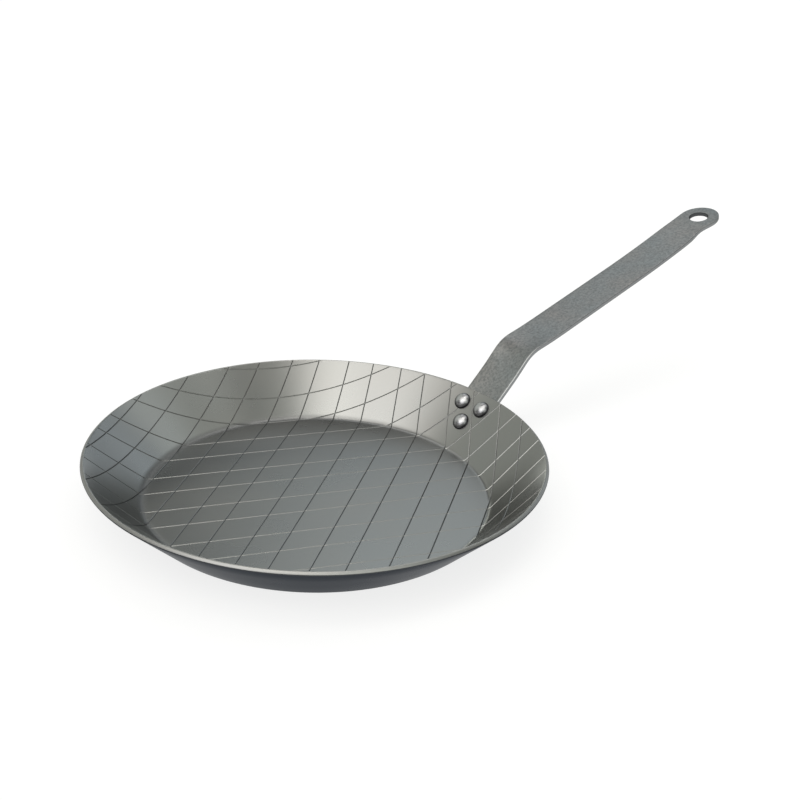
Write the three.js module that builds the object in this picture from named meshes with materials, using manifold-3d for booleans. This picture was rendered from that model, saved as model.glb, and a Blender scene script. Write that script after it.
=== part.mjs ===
import * as THREE from "three";
import { mergeVertices } from "three/addons/utils/BufferGeometryUtils.js";
import Module from "manifold-3d";

// Steak pan of carbon steel: a pressed round pan with a scored grid, a flat strap handle and the
// three rivets that hold it. Millimetres, +Z up. The origin is the middle of the base's underside
// and the handle points along +X.
const degree = Math.PI / 180;

// Pressed sheet: flat floor, round corner, straight flared wall, edge cut square to the sheet.
const sheetThickness = 2.7;
const rimRadius = 140.4;
const wallSlantLength = 44.52;
const wallAngle = 44 * degree;
const cornerRadius = 6;
const panSides = 60;
const cornerSteps = 2;

// Scored grid: shallow V cuts made in pairs across the flat sheet, before it is pressed.
const scoreWidth = 1;
const scorePairPitch = 41.3;
const scorePairGap = 19;
const firstScoreAngle = -24.1 * degree;
const firstScoreOffset = -10.5;
const firstScoreDepth = 0.5;
const secondScoreAngle = 35.5 * degree;
const secondScoreOffset = 10.1;
const secondScoreDepth = 0.43;
const scoreEdgeMargin = 5.4;
const scoreOverrunLength = 3;
const scoreLiftHeight = 0.5;
const scoreWallStep = 14;
const scoreCornerStep = 5;

// Strap handle: a flat bar that lies on the outside of the wall, runs on past the rim, bends over,
// then sweeps up a little to a waisted end whose eye is tipped back towards level.
const strapWidth = 29.2;
const strapThickness = 3;
const strapSeatGap = 0.3;
const tailRoundLength = 11;
const neckLength = 32.8;
const bendRadius = 33;
const gripSlope = 16.7 * degree;
const gripLength = 99;
const sweepLength = 68.5;
const sweepTurn = 3.7 * degree;
const eyeLength = 38.4;
const eyeTurn = -7.1 * degree;
const eyeRoundLength = 16.3;
const eyeHoleRadius = 6.8;
const eyeHoleTipDistance = 15.7;
const eyeHoleSides = 24;
const waistWidth = 25.7;
const waistTipDistance = 29.7;
const waistSpreadLength = 9.3;
const dishFadeLength = 24;
const strapStep = 9;
const strapAcross = 4;
const endSteps = 6;

// Rivets: two below the rim and one under them, domed inside the pan and upset on the strap.
const rivetRimDrop = 10.5;
const rivetRowSpacing = 13.4;
const rivetPairSpacing = 18;
const rivetHeadRadius = 5.4;
const rivetHeadHeight = 3.2;
const rivetShankRadius = 3;
const rivetTailRadius = 5;
const rivetTailHeight = 2;
const rivetClearance = 0.3;
const rivetSides = 20;
const domeSteps = 4;
const boreOverrunLength = 8;

const mergeDistance = 1e-4;
const wasm = await Module();
wasm.setup();

function solidOf(geometry) {
  const bare = geometry.clone();
  bare.deleteAttribute("normal");
  bare.deleteAttribute("uv");
  const merged = mergeVertices(bare, mergeDistance);
  const vertProperties = merged.attributes.position.array;
  const triVerts = new Uint32Array(merged.index.array);
  return new wasm.Manifold(new wasm.Mesh({ numProp: 3, vertProperties, triVerts }));
}

function geometryOf(solid) {
  const { vertProperties, triVerts } = solid.getMesh();
  const geometry = new THREE.BufferGeometry();
  geometry.setAttribute("position", new THREE.BufferAttribute(vertProperties, 3));
  geometry.setIndex(new THREE.BufferAttribute(triVerts, 1));
  geometry.computeVertexNormals();
  return geometry;
}

// The pressed sheet. A place on it is given by its distance from the middle along the inner face,
// which is its radius on the flat blank, and by its depth below that face.
const cornerTangent = cornerRadius * Math.tan(wallAngle / 2);
const cornerLength = cornerRadius * wallAngle;
const innerRimRadius = rimRadius - sheetThickness * Math.sin(wallAngle);
const floorRadius = innerRimRadius - wallSlantLength * Math.cos(wallAngle);
const floorFlat = floorRadius - cornerTangent;
const cornerEnd = floorFlat + cornerLength;
const blankRadius = cornerEnd + wallSlantLength - cornerTangent;

function sheetPoint(distance, depth) {
  const slope = THREE.MathUtils.clamp((distance - floorFlat) / cornerRadius, 0, wallAngle);
  const flat = Math.min(distance, floorFlat);
  const straight = Math.max(distance - cornerEnd, 0);
  const radius = flat + (cornerRadius + depth) * Math.sin(slope) + straight * Math.cos(wallAngle);
  const rise = cornerRadius - (cornerRadius + depth) * Math.cos(slope);
  const height = sheetThickness + rise + straight * Math.sin(wallAngle);
  return { radius, height, slope };
}

function panBlank() {
  const distances = [0];
  for (let i = 0; i <= cornerSteps; i++) {
    distances.push(floorFlat + (cornerLength * i) / cornerSteps);
  }
  distances.push(blankRadius);
  const face = (depth) =>
    distances.map((distance) => {
      const { radius, height } = sheetPoint(distance, depth);
      return new THREE.Vector2(radius, height);
    });
  const profile = [...face(sheetThickness), ...face(0).reverse()];
  return solidOf(new THREE.LatheGeometry(profile, panSides).rotateX(Math.PI / 2));
}

// One scored line, straight on the flat blank at a set offset from the middle, carried up the wall
// with the sheet. Its frames keep the V upright on the inner face.
class ScoreLine extends THREE.Curve {
  constructor(angle, offset) {
    super();
    this.angle = angle;
    this.offset = offset;
    this.stations = this.runs();
  }

  runs() {
    const zones = [
      [floorFlat, floorFlat],
      [cornerEnd, scoreCornerStep],
      [blankRadius + scoreOverrunLength, scoreWallStep],
    ];
    const half = [0];
    for (const [edge, step] of zones) {
      if (edge <= Math.abs(this.offset)) continue;
      const from = half[half.length - 1];
      const reach = Math.sqrt(edge ** 2 - this.offset ** 2) - from;
      const count = Math.ceil(reach / step);
      for (let i = 1; i <= count; i++) half.push(from + (reach * i) / count);
    }
    const mirrored = half.slice(1).map((along) => -along);
    return [...mirrored.reverse(), ...half];
  }

  place(along) {
    const across = new THREE.Vector2(along, this.offset).rotateAround(new THREE.Vector2(), this.angle);
    const { radius, height, slope } = sheetPoint(across.length(), 0);
    const round = new THREE.Vector2(Math.cos(across.angle()), Math.sin(across.angle()));
    const point = new THREE.Vector3(round.x * radius, round.y * radius, height);
    const lean = -Math.sin(slope);
    const normal = new THREE.Vector3(round.x * lean, round.y * lean, Math.cos(slope));
    return { point, normal };
  }

  getSpacedPoints() {
    return this.stations.map((along) => this.place(along).point);
  }

  computeFrenetFrames() {
    const points = this.getSpacedPoints();
    const last = points.length - 1;
    const tangents = points.map((point, i) => {
      const ahead = points[Math.min(i + 1, last)];
      const behind = points[Math.max(i - 1, 0)];
      return ahead.clone().sub(behind).normalize();
    });
    const normals = this.stations.map((along) => this.place(along).normal);
    const binormals = tangents.map((tangent, i) => tangent.clone().cross(normals[i]).normalize());
    return { tangents, normals, binormals };
  }
}

function scoreCut(angle, offset, depth) {
  const line = new ScoreLine(angle, offset);
  const mouth = (scoreWidth / 2) * ((depth + scoreLiftHeight) / depth);
  const section = new THREE.Shape();
  section.moveTo(-depth, 0);
  section.lineTo(scoreLiftHeight, -mouth);
  section.lineTo(scoreLiftHeight, mouth);
  section.closePath();
  const steps = line.stations.length - 1;
  return solidOf(new THREE.ExtrudeGeometry(section, { steps, extrudePath: line }));
}

function scoreFamily(angle, phase, depth) {
  const offsets = [];
  const pairs = Math.ceil(blankRadius / scorePairPitch) + 1;
  for (let pair = -pairs; pair <= pairs; pair++) {
    const middle = phase + pair * scorePairPitch;
    offsets.push(middle - scorePairGap / 2, middle + scorePairGap / 2);
  }
  return offsets
    .filter((offset) => Math.abs(offset) < blankRadius - scoreEdgeMargin)
    .map((offset) => scoreCut(angle, offset, depth));
}

// Rivet places: distance along the inner face, and turn about the pan's axis from the handle.
const upperRow = blankRadius - rivetRimDrop;
const lowerRow = upperRow - rivetRowSpacing;
const pairTurn = rivetPairSpacing / 2 / sheetPoint(upperRow, sheetThickness).radius;
const rivetSpots = [
  { name: "rivet_upper_left", distance: upperRow, turn: pairTurn },
  { name: "rivet_upper_right", distance: upperRow, turn: -pairTurn },
  { name: "rivet_lower", distance: lowerRow, turn: 0 },
];

// A holder whose origin is on the inner face at the rivet, with +Y square to the wall, inwards.
function rivetHolder({ distance, turn }) {
  const { radius, height, slope } = sheetPoint(distance, 0);
  const lean = -Math.sin(slope);
  const inward = new THREE.Vector3(Math.cos(turn) * lean, Math.sin(turn) * lean, Math.cos(slope));
  const holder = new THREE.Group();
  holder.position.set(Math.cos(turn) * radius, Math.sin(turn) * radius, height);
  holder.quaternion.setFromUnitVectors(new THREE.Vector3(0, 1, 0), inward);
  holder.updateMatrixWorld();
  return holder;
}

const gripStack = sheetThickness + strapSeatGap + strapThickness;

function rivetHole(spot) {
  const length = 2 * (gripStack + boreOverrunLength);
  const radius = rivetShankRadius + rivetClearance;
  const bore = new THREE.CylinderGeometry(radius, radius, length, rivetSides);
  return solidOf(bore.applyMatrix4(rivetHolder(spot).matrixWorld));
}

// One rivet as a turned body: upset tail, shank, then the domed head inside the pan.
function rivetBody() {
  const tailSeat = -gripStack - rivetClearance;
  const headSeat = rivetClearance;
  const profile = [];
  for (let i = 0; i <= domeSteps; i++) {
    const swing = ((Math.PI / 2) * i) / domeSteps;
    const low = tailSeat - rivetTailHeight * Math.cos(swing);
    profile.push(new THREE.Vector2(rivetTailRadius * Math.sin(swing), low));
  }
  profile.push(new THREE.Vector2(rivetShankRadius, tailSeat));
  profile.push(new THREE.Vector2(rivetShankRadius, headSeat));
  for (let i = 0; i <= domeSteps; i++) {
    const swing = ((Math.PI / 2) * i) / domeSteps;
    const high = headSeat + rivetHeadHeight * Math.sin(swing);
    profile.push(new THREE.Vector2(rivetHeadRadius * Math.cos(swing), high));
  }
  return new THREE.LatheGeometry(profile, rivetSides);
}

// The strap's upper face in the pan's radial plane: runs of steady bend, joined end to end. The
// path starts at the tail, on the wall's outer face.
const tailStart = lowerRow - tailRoundLength;
const bendTurn = gripSlope - wallAngle;
const strapRuns = [
  { length: blankRadius - tailStart + neckLength, turn: 0 },
  { length: bendRadius * Math.abs(bendTurn), turn: bendTurn },
  { length: gripLength, turn: 0 },
  { length: sweepLength, turn: sweepTurn },
  { length: eyeLength, turn: eyeTurn },
];
const strapLength = strapRuns.reduce((sum, run) => sum + run.length, 0);

function strapPath(along) {
  const start = sheetPoint(tailStart, sheetThickness + strapSeatGap);
  let x = start.radius;
  let z = start.height;
  let slope = wallAngle;
  let left = along;
  strapRuns.forEach((run, i) => {
    const isLast = i === strapRuns.length - 1;
    const reach = isLast ? left : Math.min(left, run.length);
    const turn = (run.turn * reach) / run.length;
    const chord = turn === 0 ? reach : (reach * Math.sin(turn / 2)) / (turn / 2);
    x += chord * Math.cos(slope + turn / 2);
    z += chord * Math.sin(slope + turn / 2);
    slope += turn;
    left -= reach;
  });
  return { x, z, slope };
}

// Half width along the strap: a round tail, straight edges, a waist and the round eye.
function strapHalfWidth(along) {
  const fromTip = strapLength - along;
  const edge = (at) => {
    const waist = Math.exp(-(((at - waistTipDistance) / waistSpreadLength) ** 2));
    return (strapWidth - (strapWidth - waistWidth) * waist) / 2;
  };
  const roundEnd = (share) => Math.sqrt(1 - (1 - share) ** 2);
  if (along < tailRoundLength) return edge(fromTip) * roundEnd(along / tailRoundLength);
  if (fromTip < eyeRoundLength) return edge(eyeRoundLength) * roundEnd(fromTip / eyeRoundLength);
  return edge(fromTip);
}

function strapStations() {
  const endAngle = (i) => (((i + 1) / (endSteps + 1)) * Math.PI) / 2;
  const stations = [];
  for (let i = 0; i < endSteps; i++) stations.push(tailRoundLength * (1 - Math.cos(endAngle(i))));
  const body = strapLength - tailRoundLength - eyeRoundLength;
  const count = Math.ceil(body / strapStep);
  for (let i = 0; i <= count; i++) stations.push(tailRoundLength + (body * i) / count);
  for (let i = endSteps - 1; i >= 0; i--) {
    stations.push(strapLength - eyeRoundLength * (1 - Math.cos(endAngle(i))));
  }
  return stations;
}

// The pad is dished to the wall's round, and the dish fades out above the rim.
function strapDish(along, radius, across) {
  const past = along - (blankRadius - tailStart);
  const share = 1 - THREE.MathUtils.smoothstep(past, 0, dishFadeLength);
  return share * (radius - Math.sqrt(radius ** 2 - across ** 2));
}

// A slab as long as there are stations and two wide, each corner moved to its place on the strap.
function strapBlank() {
  const stations = strapStations();
  const last = stations.length - 1;
  const slab = new THREE.BoxGeometry(last, 2, strapThickness, last, strapAcross, 1);
  slab.translate(last / 2, 0, -strapThickness / 2);
  const position = slab.attributes.position;
  for (let i = 0; i < position.count; i++) {
    const along = stations[Math.round(position.getX(i))];
    const across = position.getY(i) * strapHalfWidth(along);
    const below = -position.getZ(i);
    const path = strapPath(along);
    const radius = path.x + below * Math.sin(path.slope);
    const x = radius - strapDish(along, radius, across);
    position.setXYZ(i, x, across, path.z - below * Math.cos(path.slope));
  }
  return solidOf(slab);
}

function eyeHole() {
  const middle = strapPath(strapLength - eyeHoleTipDistance);
  const length = 2 * (strapThickness + boreOverrunLength);
  const bore = new THREE.CylinderGeometry(eyeHoleRadius, eyeHoleRadius, length, eyeHoleSides);
  bore.rotateX(Math.PI / 2);
  bore.rotateY(-middle.slope);
  bore.translate(middle.x, 0, middle.z);
  return solidOf(bore);
}

const scoredSteel = new THREE.MeshStandardMaterial({
  color: 0x878d8e,
  metalness: 1,
  roughness: 0.38,
});
const strapSteel = new THREE.MeshStandardMaterial({
  color: 0x74787a,
  metalness: 1,
  roughness: 0.5,
});
const rivetSteel = new THREE.MeshStandardMaterial({
  color: 0xb4b4b6,
  metalness: 1,
  roughness: 0.15,
});

const rivetHoles = rivetSpots.map(rivetHole);
const scores = [
  ...scoreFamily(firstScoreAngle, firstScoreOffset, firstScoreDepth),
  ...scoreFamily(secondScoreAngle, secondScoreOffset, secondScoreDepth),
];
const cutAll = (blank, cuts) => cuts.reduce((solid, cut) => solid.subtract(cut), blank);

const steakPan = new THREE.Group();

const panBody = new THREE.Mesh(geometryOf(cutAll(panBlank(), [...rivetHoles, ...scores])), scoredSteel);
panBody.name = "pan_body";
steakPan.add(panBody);

const handle = new THREE.Mesh(geometryOf(cutAll(strapBlank(), [...rivetHoles, eyeHole()])), strapSteel);
handle.name = "strap_handle";
steakPan.add(handle);

for (const spot of rivetSpots) {
  const rivet = new THREE.Mesh(rivetBody(), rivetSteel);
  rivet.name = spot.name;
  const holder = rivetHolder(spot);
  holder.add(rivet);
  steakPan.add(holder);
}

export default steakPan;
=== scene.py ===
"""Steak pan: a scored and pressed carbon steel dish with a riveted flat strap handle."""

import bpy
import numpy as np
from mathutils import Matrix


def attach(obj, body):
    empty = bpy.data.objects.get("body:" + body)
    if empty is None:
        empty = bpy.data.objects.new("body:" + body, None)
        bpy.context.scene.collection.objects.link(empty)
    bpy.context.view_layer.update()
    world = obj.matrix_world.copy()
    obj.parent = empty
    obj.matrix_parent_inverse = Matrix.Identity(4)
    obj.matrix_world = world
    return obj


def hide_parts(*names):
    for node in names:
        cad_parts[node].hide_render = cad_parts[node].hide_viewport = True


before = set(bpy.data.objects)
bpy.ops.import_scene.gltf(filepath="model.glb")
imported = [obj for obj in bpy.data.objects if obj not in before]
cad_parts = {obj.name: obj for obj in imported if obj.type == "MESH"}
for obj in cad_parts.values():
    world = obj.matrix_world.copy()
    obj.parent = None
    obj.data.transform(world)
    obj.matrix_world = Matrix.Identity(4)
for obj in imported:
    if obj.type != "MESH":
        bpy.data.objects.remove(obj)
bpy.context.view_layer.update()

# Pan body. One carbon steel sheet, scored with a crosshatch of shallow cuts while it is flat,
# then pressed to a flat floor, a round corner and a straight flared wall. The edge is sheared
# square to the sheet and its arrises are broken. Sizes in millimetres.
sheet_thickness = 2.7
rim_radius = 140.4
wall_slant = 44.52
wall_angle = np.radians(44.0)
corner_radius = 3.5
edge_round = 0.7
score_width = 0.8
score_depth = 0.3
score_margin = 5.4
pair_pitch = 41.3
pair_gap = 19.0
first_angle, first_offset = np.radians(-24.1), -10.5
second_angle, second_offset = np.radians(35.5), 10.1
cell = 1.2
cut_lines = 5
snap = 0.08
wall_rows, corner_rows, base_rows = 4, 8, 4

corner_tangent = corner_radius * np.tan(wall_angle / 2)
inner_rim = rim_radius - sheet_thickness * np.sin(wall_angle)
floor_flat = inner_rim - wall_slant * np.cos(wall_angle) - corner_tangent
corner_end = floor_flat + corner_radius * wall_angle
blank_radius = corner_end + wall_slant - corner_tangent


def on_sheet(distance, depth):
    """Radius and height of a place on the pressed sheet, from its distance to the middle on the
    flat blank and its depth under the inner face: flat floor, then an arc, then a straight cone."""
    slope = np.clip((distance - floor_flat) / corner_radius, 0, wall_angle)
    straight = np.maximum(distance - corner_end, 0)
    arm = corner_radius + depth
    radius = np.minimum(distance, floor_flat) + arm * np.sin(slope)
    height = sheet_thickness + corner_radius - arm * np.cos(slope)
    return radius + straight * np.cos(wall_angle), height + straight * np.sin(wall_angle)


def score_cuts(offset):
    """Offsets of one family of cuts from the middle: pairs at a set gap, one pair each pitch."""
    most = int(np.ceil(blank_radius / pair_pitch)) + 1
    middles = offset + pair_pitch * np.arange(-most, most + 1)
    cuts = np.sort(np.concatenate([middles - pair_gap / 2, middles + pair_gap / 2]))
    return cuts[np.abs(cuts) < blank_radius - score_margin]


def grid_stops(cuts):
    """Grid lines of one family: a few across each cut, and even ones between neighbouring cuts."""
    half = score_width / 2
    reach = blank_radius + cell
    starts = np.concatenate([[-reach], cuts + half])
    ends = np.concatenate([cuts - half, [reach]])
    counts = np.ceil((ends - starts) / cell).astype(int) + 1
    between = [np.linspace(*run) for run in zip(starts, ends, counts)]
    across = (cuts[:, None] + half * np.linspace(-1, 1, cut_lines)).ravel()
    return np.unique(np.concatenate([*between, across]).round(6))


def cut_depth(offsets, cuts):
    """Depth of a round cut at given offsets: a parabola, deepest on the cut's line and nothing past
    half its width."""
    nearest = np.abs(offsets[..., None] - cuts).min(-1)
    return score_depth * np.clip(1 - (nearest / (score_width / 2)) ** 2, 0, None)


first_cuts, second_cuts = score_cuts(first_offset), score_cuts(second_offset)
across_both = np.array(
    [
        [-np.sin(first_angle), np.cos(first_angle)],
        [-np.sin(second_angle), np.cos(second_angle)],
    ]
)


def trimmed_disc(first_stops, second_stops, radius):
    """Skew grid on the flat blank, along both families of cuts, trimmed to a disc. Whole cells stay
    quads, cells on the edge keep their inner corners and the points where their sides cross the
    circle. Gives the points, the faces and the edge points in order of angle."""
    offsets = np.stack(np.meshgrid(first_stops, second_stops, indexing="ij"), -1)
    points = offsets @ np.linalg.inv(across_both).T
    far = np.linalg.norm(points, axis=-1)
    on_edge = np.abs(far - radius) < snap
    points[on_edge] *= (radius / far[on_edge])[:, None]
    inside = (far < radius) & ~on_edge
    kept = inside | on_edge
    ids = np.where(kept, np.arange(far.size).reshape(far.shape), -1)
    count = far.size
    edge_points = []
    edge_ids = []
    for one, other in (
        (np.s_[:-1, :], np.s_[1:, :]),
        (np.s_[:, :-1], np.s_[:, 1:]),
    ):
        crosses = (inside[one] & ~kept[other]) | (inside[other] & ~kept[one])
        start, step = points[one][crosses], (points[other] - points[one])[crosses]
        square, dot = (step**2).sum(-1), (start * step).sum(-1)
        root = np.sqrt(dot**2 - square * ((start**2).sum(-1) - radius**2))
        share = np.where(inside[one][crosses], root - dot, -root - dot) / square
        edge_points.append(start + share[:, None] * step)
        numbered = np.full(crosses.shape, -1)
        numbered[crosses] = count + np.arange(crosses.sum())
        edge_ids.append(numbered)
        count += int(crosses.sum())
    along_first, along_second = edge_ids
    rings = np.stack(
        [
            ids[:-1, :-1],
            along_first[:, :-1],
            ids[1:, :-1],
            along_second[1:, :],
            ids[1:, 1:],
            along_first[:, 1:],
            ids[:-1, 1:],
            along_second[:-1, :],
        ],
        -1,
    ).reshape(-1, 8)
    rings = rings[(rings >= 0).sum(-1) > 2]
    used, packed = np.unique(rings, return_inverse=True)
    packed = packed.reshape(rings.shape) - 1
    points = np.concatenate([points.reshape(-1, 2), *edge_points])[used[1:]]
    faces = [ring[ring >= 0].tolist() for ring in packed]
    rim = np.flatnonzero(np.abs(np.linalg.norm(points, axis=-1) - radius) < 1e-6)
    rim = rim[np.argsort(np.arctan2(points[rim, 1], points[rim, 0]))]
    return points, faces, rim


blank, faces, rim = trimmed_disc(
    grid_stops(first_cuts), grid_stops(second_cuts), blank_radius - edge_round
)
offsets = blank @ across_both.T
first_depth = cut_depth(offsets[:, 0], first_cuts)
second_depth = cut_depth(offsets[:, 1], second_cuts)
depth = np.maximum(first_depth, second_depth)
distance = np.linalg.norm(blank, axis=-1)
bearing = np.arctan2(blank[:, 1], blank[:, 0])

# The rim's section after the inner face: broken inner arris, sheared face, broken outer arris, then
# the outer face down to the middle of the base, as distance on the blank and depth in the sheet.
swing = np.radians([22.5, 45, 67.5, 90])
arris_rows = swing.size
turned = edge_round * np.sin(swing)
rest = edge_round * (1 - np.cos(swing))
shear = blank_radius - edge_round
outer = np.concatenate(
    [
        np.linspace(shear, corner_end, wall_rows)[1:],
        np.linspace(corner_end, floor_flat, corner_rows)[1:],
        np.linspace(floor_flat, 0, base_rows)[1:-1],
    ]
)
section_distance = np.concatenate([shear + turned, shear + edge_round - np.append(0, rest), outer])
section_depth = np.concatenate(
    [
        rest,
        sheet_thickness - edge_round + np.append(0, turned),
        np.full(outer.size, sheet_thickness),
    ]
)
row_depth = np.maximum(section_depth[:, None], depth[rim])
row_radius, row_height = on_sheet(section_distance[:, None], row_depth)
row_bearing = np.broadcast_to(bearing[rim], row_radius.shape)

radius, height = on_sheet(distance, depth)
radius = np.concatenate([radius, row_radius.ravel(), [0]])
height = np.concatenate([height, row_height.ravel(), [0]])
bearing = np.concatenate([bearing, row_bearing.ravel(), [0]])
points = np.stack([radius * np.cos(bearing), radius * np.sin(bearing), height], -1)

rows = np.vstack([rim, len(blank) + np.arange(row_radius.size).reshape(row_radius.shape)])
ahead = np.roll(rows, -1, axis=1)
belts = np.stack([ahead[:-1], rows[:-1], rows[1:], ahead[1:]], -1).reshape(-1, 4)
middle = np.full(rim.size, len(points) - 1)
fan = np.stack([ahead[-1], rows[-1], middle], -1)
faces += belts.tolist() + fan.tolist()

mm = 0.001


def add_piece(name, points, faces, node, material, crease=30):
    """A smooth shaded mesh with sharp edges past the crease angle, riding on the one body."""
    mesh = bpy.data.meshes.new(name)
    mesh.from_pydata(points * mm, [], faces)
    mesh.shade_smooth()
    mesh.set_sharp_from_angle(angle=np.radians(crease))
    mesh.materials.append(material)
    piece = bpy.data.objects.new(name, mesh)
    bpy.context.scene.collection.objects.link(piece)
    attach(piece, "root")
    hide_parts(node)
    return piece


def mark(piece, name, values):
    """Keeps one number for each point of a piece's mesh, for its material."""
    kept = piece.data.attributes.new(name, "FLOAT", "POINT")
    kept.data.foreach_set("value", np.asarray(values, np.float32))


def linear(hex_colour):
    """An sRGB hex colour as linear red, green, blue and full alpha."""
    parts = np.array([int(hex_colour[i : i + 2], 16) for i in (1, 3, 5)]) / 255
    flat = np.where(parts <= 0.04045, parts / 12.92, ((parts + 0.055) / 1.055) ** 2.4)
    return (*flat, 1.0)


def add_node(tree, kind, inputs, **settings):
    """Adds a node with its settings; an input is a value for a socket, or a socket to link."""
    made = tree.nodes.new(kind)
    for key, value in settings.items():
        setattr(made, key, value)
    for key, value in inputs.items():
        if isinstance(value, bpy.types.NodeSocket):
            tree.links.new(value, made.inputs[key])
        else:
            made.inputs[key].default_value = value
    return made


def new_material(name):
    """An empty node material and its tree."""
    material = bpy.data.materials.new(name)
    material.use_nodes = True
    material.node_tree.nodes.clear()
    return material, material.node_tree


def marked(tree, name):
    """The number that mark kept under a name, as a socket."""
    return add_node(tree, "ShaderNodeAttribute", {}, attribute_name=name).outputs["Fac"]


def mix_tones(tree, share, low, high):
    """A colour between two others, each a colour or a socket, by a share from 0 to 1."""
    inputs = {"Factor": share, "A": low, "B": high}
    mix = add_node(tree, "ShaderNodeMix", inputs, data_type="RGBA")
    return mix.outputs["Result"]


# Carbon steel sheet, cold rolled and bare: an even satin sheen with faint clouds of tone. The cuts
# are darker in their bottoms, painted shade, those of the first family less. The corner is duller,
# and darker with painted shade on the side away from the handle. The sheared lip is duller, and the
# outside is darker and bluer, painted shade of the shadowed floor that it mirrors.
sheet_steel, tree = new_material("cold_rolled_carbon_steel")
place = add_node(tree, "ShaderNodeTexCoord", {}).outputs["Object"]
clouds = add_node(
    tree,
    "ShaderNodeTexNoise",
    {"Vector": place, "Scale": 1 / 0.06, "Detail": 3.0, "Roughness": 0.5},
)
corner, lip = marked(tree, "dull_and_shaded_corner"), marked(tree, "sheared_edge")
cut, outside = marked(tree, "painted_cut_shade"), marked(tree, "shaded_outer_face")
tone = mix_tones(tree, clouds.outputs["Fac"], linear("#a0a2a2"), linear("#a6a4a1"))
# Painted shade in the corner.
tone = mix_tones(tree, corner, tone, linear("#808080"))
# Painted shade in the bottoms of the cuts.
tone = mix_tones(tree, cut, tone, linear("#6c6c6c"))
# Painted shade on the outside, for the shadowed floor that it mirrors.
tone = mix_tones(tree, outside, tone, linear("#494b4e"))
edge_tone = mix_tones(tree, outside, linear("#bcbcbc"), linear("#a9abae"))
gloss = add_node(
    tree,
    "ShaderNodeMapRange",
    {
        "Value": clouds.outputs["Fac"],
        "From Min": 0.2,
        "From Max": 0.8,
        "To Min": 0.26,
        "To Max": 0.30,
    },
)
for share, duller in ((corner, 0.45), (lip, 0.42)):
    gloss = add_node(
        tree,
        "ShaderNodeMapRange",
        {"Value": share, "To Min": gloss.outputs["Result"], "To Max": duller},
    )
steel = add_node(
    tree,
    "ShaderNodeBsdfPrincipled",
    {
        "Base Color": tone,
        "Metallic": 1.0,
        "Roughness": gloss.outputs["Result"],
        "Specular Tint": edge_tone,
    },
)
add_node(tree, "ShaderNodeOutputMaterial", {"Surface": steel.outputs["BSDF"]})

pan = add_piece("pan_dish", points, faces, "pan_body", sheet_steel)
# The outer face takes the painted shade.
shaded_outer_face = np.zeros(len(points))
shaded_outer_face[rows[arris_rows + 2 :].ravel()] = 1
shaded_outer_face[-1] = 1
mark(pan, "shaded_outer_face", shaded_outer_face)
sheared_edge = np.zeros(len(points))
sheared_edge[rows[1 : 2 * arris_rows + 1].ravel()] = 1
mark(pan, "sheared_edge", sheared_edge)
unseen = np.zeros(len(points) - len(blank))
# The cuts' bottoms take painted shade, the first family's less.
first_cut_shade = 0.3
cut_shade = np.maximum(first_cut_shade * first_depth, second_depth) / score_depth
mark(pan, "painted_cut_shade", np.append(cut_shade, unseen))
# The corner's dulling and painted shade are full near its middle and fade within its reach. Round
# the pan they follow a cosine, strongest on the darkest side.
corner_middle = (floor_flat + corner_end) / 2
corner_reach, corner_peak = 2.2, 1.6
darkest_side, mean_share, side_share = np.radians(125.0), 0.5, 0.7
fading = corner_peak - np.abs(distance - corner_middle) / corner_reach
around_pan = mean_share + side_share * np.cos(bearing[: len(blank)] - darkest_side)
dull_and_shaded_corner = np.clip(fading, 0, 1) * np.clip(around_pan, 0, 1)
mark(pan, "dull_and_shaded_corner", np.append(dull_and_shaded_corner, unseen))

# Strap handle. One flat steel bar: its round lower end lies on the outside of the wall, it runs on
# past the rim, bends over, sweeps up a little and ends in a waisted eye with a hanging hole.
strap_width = 29.2
strap_thickness = 3.0
seat_gap = 0.3
tail_round = 11.0
neck_length = 32.8
bend_radius = 33.0
grip_slope = np.radians(16.7)
grip_length = 99.0
sweep_length, sweep_turn = 68.5, np.radians(3.7)
eye_length, eye_turn = 38.4, np.radians(-7.1)
eye_round = 16.3
hole_radius = 6.8
hole_tip = 15.7
waist_depths = {1: 0.4, -1: 2.0}
waist_tip = 29.7
waist_spread = 9.3
dish_fade = 24.0
strap_edge = 0.6
hole_edge = 0.35
saddle_rise = 1.0
saddle_spread = 15.0
rivet_drop, rivet_row = 10.5, 13.4
end_steps, body_steps, face_steps, arris_steps = 25, 131, 9, 6

tail_start = blank_radius - rivet_drop - rivet_row - tail_round
bend_turn = grip_slope - wall_angle
runs = [
    (blank_radius - tail_start + neck_length, 0.0),
    (bend_radius * abs(bend_turn), bend_turn),
    (grip_length, 0.0),
    (sweep_length, sweep_turn),
    (eye_length, eye_turn),
]
strap_length = sum(length for length, turn in runs)
bend_middle = runs[0][0] + runs[1][0] / 2


def strap_path(along):
    """Radius, height and slope of the strap's upper face, by the length from its lower end: runs of
    steady bend joined end to end, each a chord at the mean slope of its arc."""
    radius, height = on_sheet(tail_start, sheet_thickness + seat_gap)
    slope = wall_angle
    left = along
    for length, turn in runs:
        reach = np.clip(left, 0, length)
        bent = turn * reach / length
        chord = reach * np.sinc(bent / 2 / np.pi)
        radius = radius + chord * np.cos(slope + bent / 2)
        height = height + chord * np.sin(slope + bent / 2)
        slope = slope + bent
        left = left - reach
    return radius, height, slope


def on_strap(along, across, below):
    """Place of a point of the flat strap on the bent one: along the path, across it and below the
    upper face. The pad is dished to the wall's round, and the dish fades out past the rim. At the
    bend both edges curl up, by a bell along the strap and the square of the place across it."""
    radius, height, slope = strap_path(along)
    bell = np.exp(-(((along - bend_middle) / saddle_spread) ** 2))
    below = below - saddle_rise * bell * (2 * across / strap_width) ** 2
    radius = radius + below * np.sin(slope)
    past = np.clip((along - (blank_radius - tail_start)) / dish_fade, 0, 1)
    share = 1 - past**2 * (3 - 2 * past)
    dish = share * (radius - np.sqrt(radius**2 - across**2))
    return np.stack([radius - dish, across, height - below * np.cos(slope)], -1)


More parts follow.
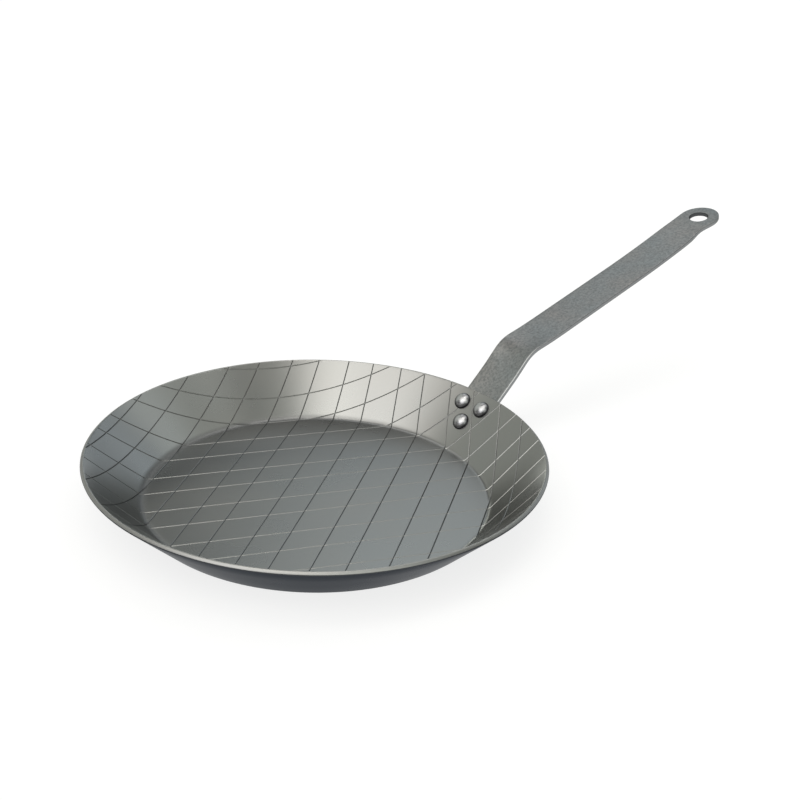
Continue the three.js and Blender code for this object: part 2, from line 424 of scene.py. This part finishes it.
def half_outline(waist_depth):
    """Half of the strap's outline from the tip of its lower end to the tip of the eye, and the way
    inward along it: two quarter ellipses joined by an even edge with a bell shaped waist."""

    def half_width(along):
        """Half the strap's width, less a bell at the waist."""
        waist = np.exp(-(((strap_length - along - waist_tip) / waist_spread) ** 2))
        return strap_width / 2 - waist_depth * waist

    quarter = np.linspace(0, np.pi / 2, end_steps)
    eye_end = strap_length - eye_round
    body = np.linspace(tail_round, eye_end, body_steps)[1:-1]
    along = [tail_round * (1 - np.cos(quarter)), body, eye_end + eye_round * np.sin(quarter)]
    across = [
        half_width(tail_round) * np.sin(quarter),
        half_width(body),
        half_width(eye_end) * np.cos(quarter),
    ]
    edge = np.stack([np.concatenate(along), np.concatenate(across)], -1)
    edge[-1, 1] = 0
    mirror = np.array([1, -1])
    longer = np.vstack([edge[1] * mirror, edge, edge[-2] * mirror])
    run = longer[2:] - longer[:-2]
    inward = np.stack([run[:, 1], -run[:, 0]], -1) / np.linalg.norm(run, axis=-1)[:, None]
    return edge, inward


# The line that the flat faces run in to: the strap's middle line, then round the rim of the hole.
edge_along = half_outline(0.0)[0][:, 0]
hole_at = strap_length - hole_tip
open_radius = hole_radius + hole_edge
split, meet = hole_at - 2 * hole_tip, hole_at - hole_tip
hole_start = hole_at - open_radius
line_along = np.interp(edge_along, [tail_round, split, meet], [tail_round, split, hole_start])
steps = np.arange(edge_along.size)
first_open = int(np.argmax(edge_along >= meet))
opening = np.clip((steps - first_open) / (steps[-1] - first_open), 0, 1)
angle = np.pi * (1 - opening)
around = np.stack([np.cos(angle), np.sin(angle)], -1)
around[[first_open, -1], 1] = 0
centre = np.array([hole_at, 0])
is_open = (steps >= first_open)[:, None]
line = np.where(is_open, centre + open_radius * around, np.stack([line_along, 0 * steps], -1))

swing = np.linspace(0, np.pi / 2, arris_steps)
shares = np.linspace(1, 0, face_steps)[:, None, None]
round_inset = strap_edge * (1 - np.cos(swing[::-1]))[1:]
round_below = strap_edge * (1 - np.sin(swing[::-1]))[1:]


def strap_rows(edge, inward):
    """Rows of the strap's section, from the middle line out over the upper face, round the arrises
    and back in under the lower face."""
    inset = edge + strap_edge * inward
    top = inset + shares * (line - inset)
    corner = edge + round_inset[:, None, None] * inward
    return np.concatenate([top, corner, corner[::-1], top[::-1]])


below = np.concatenate([np.zeros(len(shares)), round_below])
below = np.concatenate([below, strap_thickness - below[::-1]])[:, None]

rim_out = hole_edge * (1 - np.sin(swing))
rim_below = hole_edge * (1 - np.cos(swing))
bore_radius = hole_radius + np.concatenate([rim_out, rim_out[::-1]])
bore_below = np.concatenate([rim_below, strap_thickness - rim_below[::-1]])[:, None]
bore = centre + bore_radius[:, None, None] * around[first_open:]


def sheet_faces(shape, first, turned):
    """Quads of a grid of points numbered row by row from a first number, turned over if asked."""
    grid = first + np.arange(shape[0] * shape[1]).reshape(shape)
    corners = [grid[:-1, :-1], grid[:-1, 1:], grid[1:, 1:], grid[1:, :-1]]
    quads = np.stack(corners, -1).reshape(-1, 4)
    return quads[:, ::-1] if turned else quads


def welded(points, quads):
    """Joins points that lie in one place and drops the faces that this leaves without area. Gives
    the points, the faces and which points were kept."""
    _, kept, number = np.unique(points.round(5), axis=0, return_index=True, return_inverse=True)
    loops = [list(dict.fromkeys(quad)) for quad in number.ravel()[quads].tolist()]
    return points[kept], [loop for loop in loops if len(loop) > 2], kept


# Where the painted highlight on the neck's arrises ends, and how fast it fades.
highlight_end, highlight_fade = bend_middle + 25.0, 30.0
points, quads, shaded_side_face, highlit_arris, shaded_bore, count = [], [], [], [], [], 0
for side, waist_depth in waist_depths.items():
    plan = strap_rows(*half_outline(waist_depth))
    for flat, deep, flipped in ((plan, below, side < 0), (bore, bore_below, side > 0)):
        points.append(on_strap(flat[..., 0], side * flat[..., 1], deep).reshape(-1, 3))
        quads.append(sheet_faces(flat.shape[:2], count, flipped))
        count += len(points[-1])
        # The sides and the bore's wall take painted shade.
        sunk = np.minimum(deep, strap_thickness - deep) / strap_edge
        shaded_side_face.append(np.broadcast_to(np.clip(sunk, 0, 1), flat.shape[:2]).ravel())
        # The neck's arrises take a painted highlight, fading out past the bend.
        highlight_fading = np.clip((highlight_end - flat[..., 0]) / highlight_fade, 0, 1)
        arris_highlight = np.clip(4 * sunk * (1 - sunk), 0, 1) * highlight_fading
        highlit_arris.append(arris_highlight.ravel())
        # The bore takes painted shade.
        shaded_bore.append(np.full(arris_highlight.size, flat is bore))
points, faces, kept = welded(np.concatenate(points), np.concatenate(quads))

# Hot rolled steel bar, tumbled: duller than the sheet, with a fine dark speckle and soft brownish
# and bluish patches. The sides are a little darker with painted shade, the arrises of the neck
# carry a painted highlight, and the bore is dark with painted shade.
bar_steel, tree = new_material("hot_rolled_steel_bar")
place = add_node(tree, "ShaderNodeTexCoord", {}).outputs["Object"]
patches = add_node(
    tree,
    "ShaderNodeTexNoise",
    {"Vector": place, "Scale": 1 / 0.03, "Detail": 3.0, "Roughness": 0.5},
)
patch_share = add_node(
    tree,
    "ShaderNodeMapRange",
    {"Value": patches.outputs["Fac"], "From Min": 0.35, "From Max": 0.65},
)
speckle = add_node(
    tree,
    "ShaderNodeTexNoise",
    {"Vector": place, "Scale": 1 / 0.0018, "Detail": 2.0, "Roughness": 0.7},
)
speckle_share = add_node(
    tree,
    "ShaderNodeMapRange",
    {"Value": speckle.outputs["Fac"], "From Min": 0.35, "From Max": 0.7},
)
tone = mix_tones(tree, patch_share.outputs["Result"], linear("#9da2a4"), linear("#a4a2a1"))
tone = mix_tones(tree, speckle_share.outputs["Result"], tone, linear("#828485"))
# Painted shade on the sides and in the bore, and a painted highlight on the neck's arrises.
for name, colour in (
    ("shaded_side_face", "#8c8e8f"),
    ("highlit_arris", "#cccccc"),
    ("shaded_bore", "#4e5052"),
):
    tone = mix_tones(tree, marked(tree, name), tone, linear(colour))
grain = add_node(
    tree,
    "ShaderNodeBump",
    {"Height": speckle.outputs["Fac"], "Strength": 0.25, "Distance": 0.0002},
)
steel = add_node(
    tree,
    "ShaderNodeBsdfPrincipled",
    {
        "Base Color": tone,
        "Metallic": 1.0,
        "Roughness": 0.36,
        "Specular Tint": linear("#bcbcbc"),
        "Normal": grain.outputs["Normal"],
    },
)
add_node(tree, "ShaderNodeOutputMaterial", {"Surface": steel.outputs["BSDF"]})
strap = add_piece("flat_strap", points, faces, "strap_handle", bar_steel)
for name, values in (
    ("shaded_side_face", shaded_side_face),
    ("highlit_arris", highlit_arris),
    ("shaded_bore", shaded_bore),
):
    mark(strap, name, np.concatenate(values)[kept])

# Rivets. Three solid steel rivets through the wall and the strap's pad, two under the rim and one
# below them, with domed polished heads inside the pan and low upset tails on the strap.
pair_spacing = 18.0
head_radius, head_height = 5.8, 3.8
tail_radius, tail_height = 5.0, 2.2
shank_radius = 3.0
profile_steps, turn_steps = 13, 49
tail_seat = -sheet_thickness - seat_gap - strap_thickness

swing = np.linspace(0, np.pi / 2, profile_steps)
profile_radius = np.concatenate(
    [
        tail_radius * np.sin(swing),
        [shank_radius, shank_radius],
        head_radius * np.cos(swing),
    ]
)
profile_height = np.concatenate(
    [
        tail_seat - tail_height * np.cos(swing),
        [tail_seat, 0],
        head_height * np.sin(swing),
    ]
)
profile_radius[-1] = 0
turn = np.linspace(0, 2 * np.pi, turn_steps)
turn[-1] = 0

# Polished steel: a painted highlight on the crown, and painted shade round the foot.
rivet_steel, tree = new_material("polished_rivet_steel")
place = add_node(tree, "ShaderNodeTexCoord", {}).outputs["Object"]
wear = add_node(
    tree,
    "ShaderNodeTexNoise",
    {"Vector": place, "Scale": 1 / 0.002, "Detail": 3.0},
)
gloss = add_node(
    tree,
    "ShaderNodeMapRange",
    {
        "Value": wear.outputs["Fac"],
        "From Min": 0.3,
        "From Max": 0.7,
        "To Min": 0.28,
        "To Max": 0.34,
    },
)
# Painted shade at the foot, and a painted highlight on the crown.
crown_light = add_node(
    tree,
    "ShaderNodeMapRange",
    {"Value": marked(tree, "painted_crown_light"), "From Min": 0.3, "From Max": 0.95},
)
tone = mix_tones(tree, crown_light.outputs["Result"], linear("#525256"), linear("#c8c8ca"))
steel = add_node(
    tree,
    "ShaderNodeBsdfPrincipled",
    {"Base Color": tone, "Metallic": 1.0, "Roughness": gloss.outputs["Result"]},
)
add_node(tree, "ShaderNodeOutputMaterial", {"Surface": steel.outputs["BSDF"]})

upper = blank_radius - rivet_drop
pair_turn = pair_spacing / 2 / on_sheet(upper, sheet_thickness)[0]
for name, distance, bearing in (
    ("rivet_upper_left", upper, pair_turn),
    ("rivet_upper_right", upper, -pair_turn),
    ("rivet_lower", upper - rivet_row, 0.0),
):
    radius, height = on_sheet(distance, 0.0)
    outward = np.array([np.cos(bearing), np.sin(bearing), 0])
    sideways = np.array([-np.sin(bearing), np.cos(bearing), 0])
    upward = np.array([0, 0, 1])
    square = upward * np.cos(wall_angle) - outward * np.sin(wall_angle)
    slant = np.cross(square, sideways)
    ring = np.cos(turn)[:, None] * sideways + np.sin(turn)[:, None] * slant
    points = (
        radius * outward
        + height * upward
        + profile_height[:, None, None] * square
        + profile_radius[:, None, None] * ring
    )
    quads = sheet_faces(points.shape[:2], 0, False)
    points, faces, kept = welded(points.reshape(-1, 3), quads)
    rivet = add_piece(name + "_body", points, faces, name, rivet_steel, crease=50)
    # The share of height drives the crown's painted highlight and the foot's painted shade.
    crown_light_share = np.repeat(np.clip(profile_height / head_height, 0, 1), turn.size)
    mark(rivet, "painted_crown_light", crown_light_share[kept])

# Stage. A plain sheet of pale paper, a hair under the base. It stays white to the eye and in the
# steel, and keeps the pan's soft shadow. Sizes in metres.
floor_half, floor_level = 12.0, -0.0001
paper_glow = 0.8
mesh = bpy.data.meshes.new("studio_floor")
across = floor_half * np.array([[-1, -1], [1, -1], [1, 1], [-1, 1]])
mesh.from_pydata(np.column_stack([across, np.full(4, floor_level)]), [], [(0, 1, 2, 3)])
floor = bpy.data.objects.new("studio_floor", mesh)
bpy.context.scene.collection.objects.link(floor)
paper, tree = new_material("white_studio_paper")
matt = add_node(tree, "ShaderNodeBsdfDiffuse", {"Color": linear("#888888")})
ray = add_node(tree, "ShaderNodeLightPath", {})
seen = add_node(
    tree,
    "ShaderNodeMath",
    {0: ray.outputs["Is Camera Ray"], 1: ray.outputs["Is Glossy Ray"]},
    operation="MAXIMUM",
)
seen = add_node(
    tree,
    "ShaderNodeMath",
    {0: seen.outputs[0], 1: ray.outputs["Is Transmission Ray"]},
    operation="MAXIMUM",
)
level = add_node(
    tree, "ShaderNodeMath", {0: seen.outputs[0], 1: paper_glow}, operation="MULTIPLY"
)
glow = add_node(tree, "ShaderNodeEmission", {"Strength": level.outputs[0]})
both = add_node(tree, "ShaderNodeAddShader", {0: matt.outputs[0], 1: glow.outputs[0]})
add_node(tree, "ShaderNodeOutputMaterial", {"Surface": both.outputs[0]})
floor.data.materials.append(paper)

# Light. A soft studio of round panels in the world: warm ones high over the camera, on its left and
# overhead, lower ones in front on both sides, a bright low one behind the pan, and dim ones on the
# far side and the right.
world = bpy.data.worlds.new("soft_studio")
bpy.context.scene.world = world
world.use_nodes = True
tree = world.node_tree
tree.nodes.clear()
towards = add_node(tree, "ShaderNodeTexCoord", {}).outputs["Generated"]
total = None
warm, plain, pale, cool = "#fffdf7", "#ffffff", "#fafff6", "#eef9ff"
# Bearing and lift of a panel's middle, reach of its full and of its last light, all in degrees,
# then its strength and its colour.
for bearing, lift, full, last, strength, colour in (
    (224, 59, 3, 17, 2.2, warm),
    (165, 57, 1, 31, 1.6, warm),
    (193, 88, 4, 18, 2.75, warm),
    (-39, 64, 1, 15, 0.4, warm),
    (-102, 36, 10, 35, 1.2, pale),
    (188, 36, 10, 30, 1.5, plain),
    (10, 64, 5, 20, 1.2, plain),
    (59, 7, 3.5, 17.5, 2.3, pale),
    (39, 6, 9, 23, 0.75, cool),
    (7, 9, 4, 20, 0.55, cool),
    (43, 32, 1, 15, 0.75, cool),
    (47, 44, 1, 15, 0.5, pale),
    (66, 53, 1, 15, 1.1, plain),
    (103, 25, 23, 37, 0.55, pale),
    (-2, 26, 7, 31, 0.4, cool),
    (-21, 48, 16, 30, 0.5, pale),
):
    tilt, side = np.radians(lift), np.radians(bearing)
    aim = (np.cos(tilt) * np.cos(side), np.cos(tilt) * np.sin(side), np.sin(tilt))
    facing = add_node(tree, "ShaderNodeVectorMath", {0: towards, 1: aim}, operation="DOT_PRODUCT")
    glow = add_node(
        tree,
        "ShaderNodeMapRange",
        {
            "Value": facing.outputs["Value"],
            "From Min": np.cos(np.radians(last)),
            "From Max": np.cos(np.radians(full)),
            "To Max": strength,
        },
        interpolation_type="SMOOTHSTEP",
    )
    lamp = add_node(
        tree, "ShaderNodeBackground", {"Color": linear(colour), "Strength": glow.outputs["Result"]}
    )
    if total is None:
        total = lamp.outputs[0]
    else:
        total = add_node(tree, "ShaderNodeAddShader", {0: total, 1: lamp.outputs[0]}).outputs[0]
# The backdrop is white to the eye all over, and in the steel as far up as the paper stands.
ray = add_node(tree, "ShaderNodeLightPath", {})
height = add_node(tree, "ShaderNodeSeparateXYZ", {"Vector": towards}).outputs["Z"]
paper_top, paper_end = np.radians(2.0), np.radians(4.0)
standing = add_node(
    tree,
    "ShaderNodeMapRange",
    {"Value": height, "From Min": np.sin(paper_end), "From Max": np.sin(paper_top)},
    interpolation_type="SMOOTHSTEP",
)
mirrored = add_node(
    tree,
    "ShaderNodeMath",
    {0: ray.outputs["Is Glossy Ray"], 1: standing.outputs["Result"]},
    operation="MULTIPLY",
)
seen = add_node(
    tree,
    "ShaderNodeMath",
    {0: ray.outputs["Is Camera Ray"], 1: ray.outputs["Is Transmission Ray"]},
    operation="MAXIMUM",
)
seen = add_node(
    tree, "ShaderNodeMath", {0: seen.outputs[0], 1: mirrored.outputs[0]}, operation="MAXIMUM"
)
backdrop = add_node(
    tree, "ShaderNodeBackground", {"Color": linear("#ffffff"), "Strength": seen.outputs[0]}
)
total = add_node(tree, "ShaderNodeAddShader", {0: total, 1: backdrop.outputs[0]}).outputs[0]
add_node(tree, "ShaderNodeOutputWorld", {"Surface": total})

# Camera. A normal lens, a little rolled, that looks down on the pan from the front left of the
# handle. Its place is in millimetres.
heading, dip, roll = np.radians(47.85), np.radians(24.533), np.radians(2.505)
focal_length = 57.612
camera_place = np.array([-428.59, -546.0, 384.03])
right = np.array([np.sin(heading), -np.cos(heading), 0])
level = np.array([np.cos(heading), np.sin(heading), 0])
upward = np.array([0, 0, 1])
ahead = level * np.cos(dip) - upward * np.sin(dip)
over = level * np.sin(dip) + upward * np.cos(dip)
lens = bpy.data.cameras.new("camera")
lens.lens = focal_length
camera = bpy.data.objects.new("camera", lens)
bpy.context.scene.collection.objects.link(camera)
pose = np.eye(4)
pose[:3, 0] = np.cos(roll) * right + np.sin(roll) * over
pose[:3, 1] = np.cos(roll) * over - np.sin(roll) * right
pose[:3, 2] = -ahead
pose[:3, 3] = camera_place * mm
camera.matrix_world = Matrix(pose)
bpy.context.scene.camera = camera
bpy.context.scene.view_settings.view_transform = "Standard"
